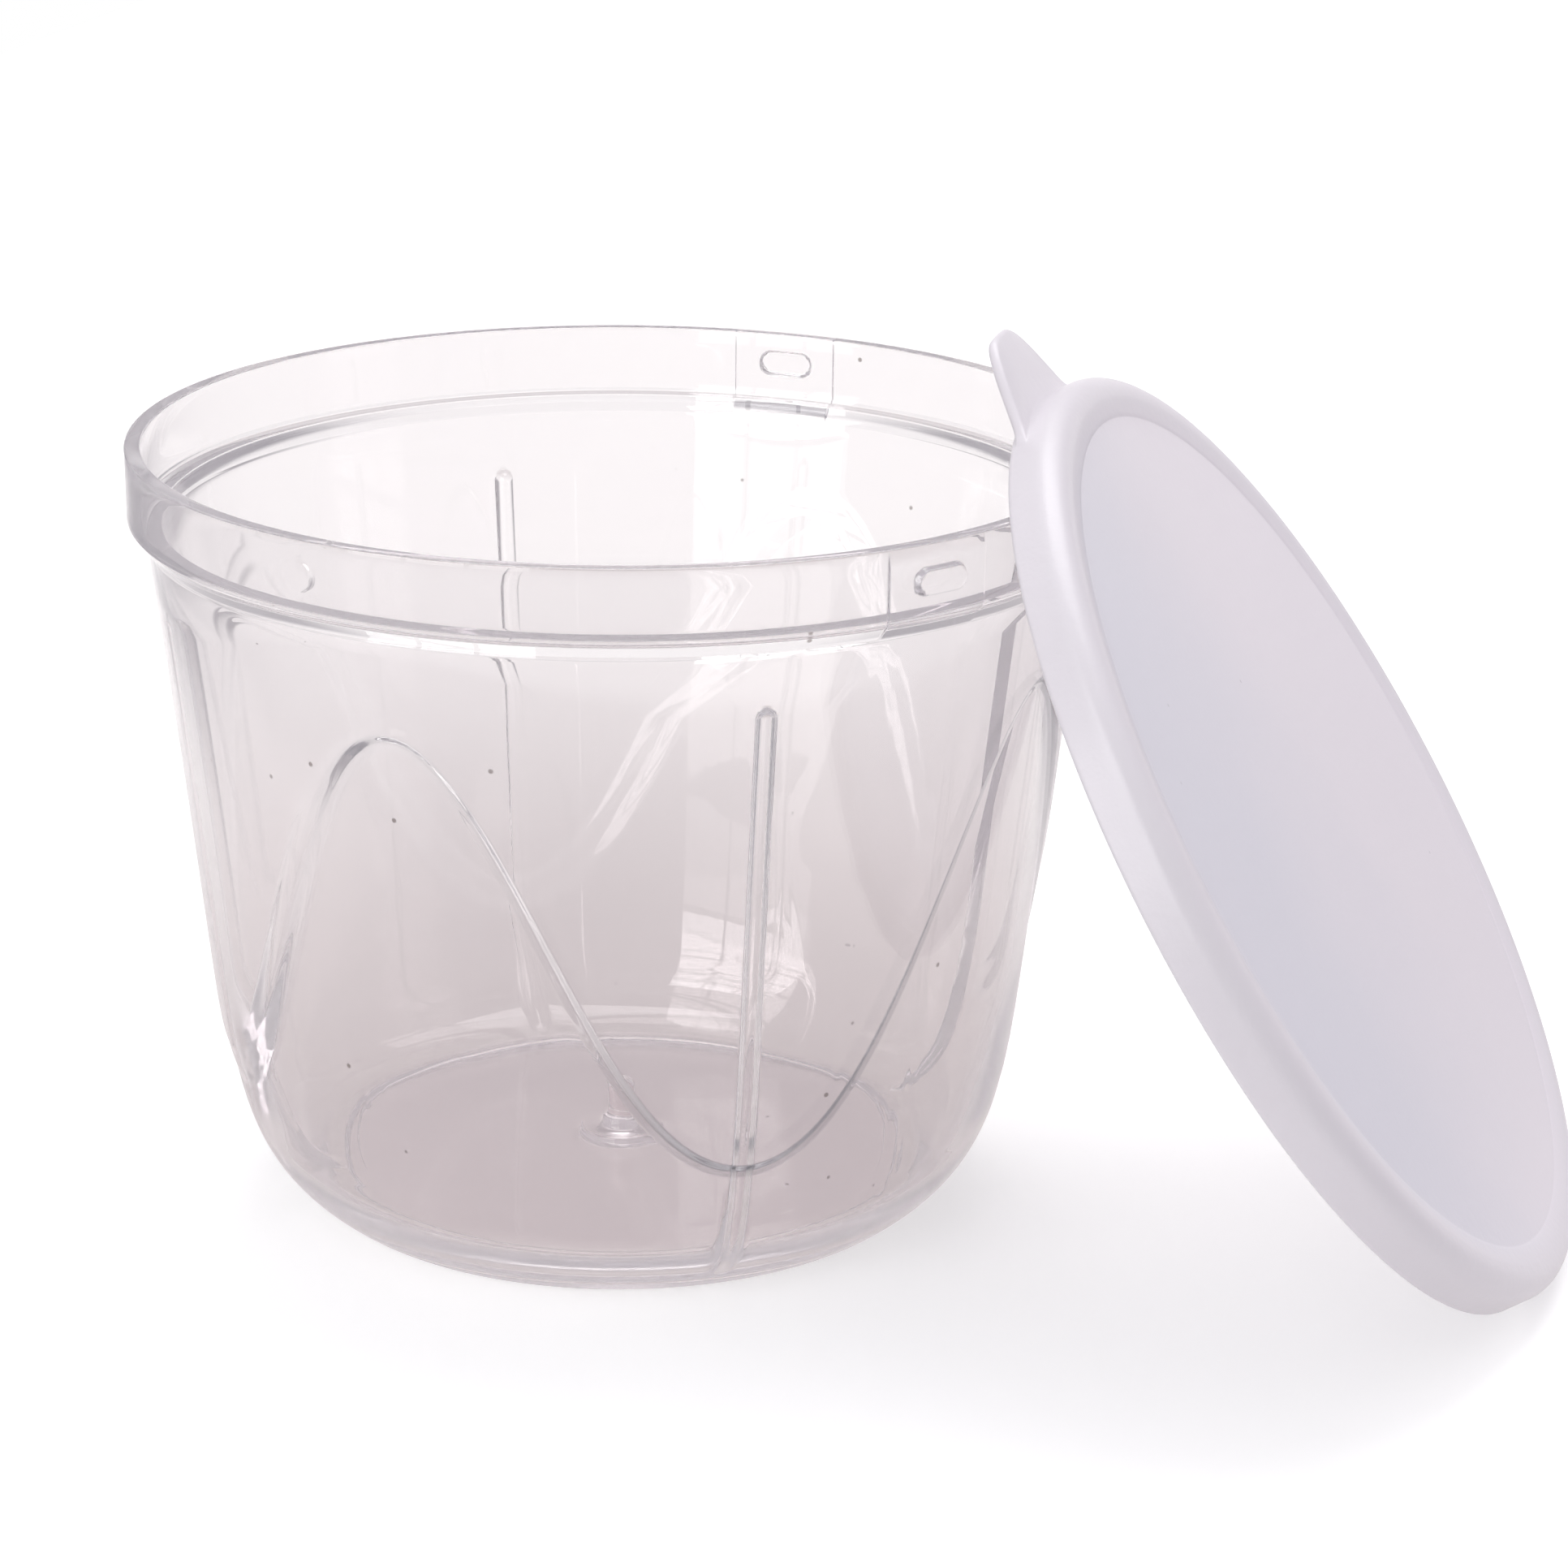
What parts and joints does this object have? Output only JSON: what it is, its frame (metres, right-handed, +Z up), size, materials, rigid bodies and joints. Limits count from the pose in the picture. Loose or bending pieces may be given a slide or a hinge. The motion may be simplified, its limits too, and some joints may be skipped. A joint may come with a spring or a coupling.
{
  "type": "manual food chopper",
  "caption": "Clear bowl of a manual food chopper, with lock lugs, inner ribs and a blade pin, and a soft storage lid that leans on its rim.",
  "frame": {"origin": "middle of the set's footprint, on the table that the bowl and the lid stand on", "axes": "+Z up along the bowl's axis, +X from the bowl to the lid that leans on it, +Y to the back of the bowl as pictured; the bowl's axis is at x = -0.0328"},
  "size_m": [0.1956, 0.1324, 0.1212],
  "materials": {
    "clear_plastic": "clear, polished, with a faint pinkish grey cast",
    "soft_white_plastic": "soft, satin, slightly translucent cool white"
  },
  "bodies": {
    "bowl": {"bowl": "clear_plastic"},
    "storage_lid": {"storage_lid": "soft_white_plastic"}
  },
  "joints": [
    {"name": "lid_lift", "type": "slide", "parent": "bowl", "child": "storage_lid", "axis": [0, 0, 1], "range_m": [0, 0.12]}
  ]
}
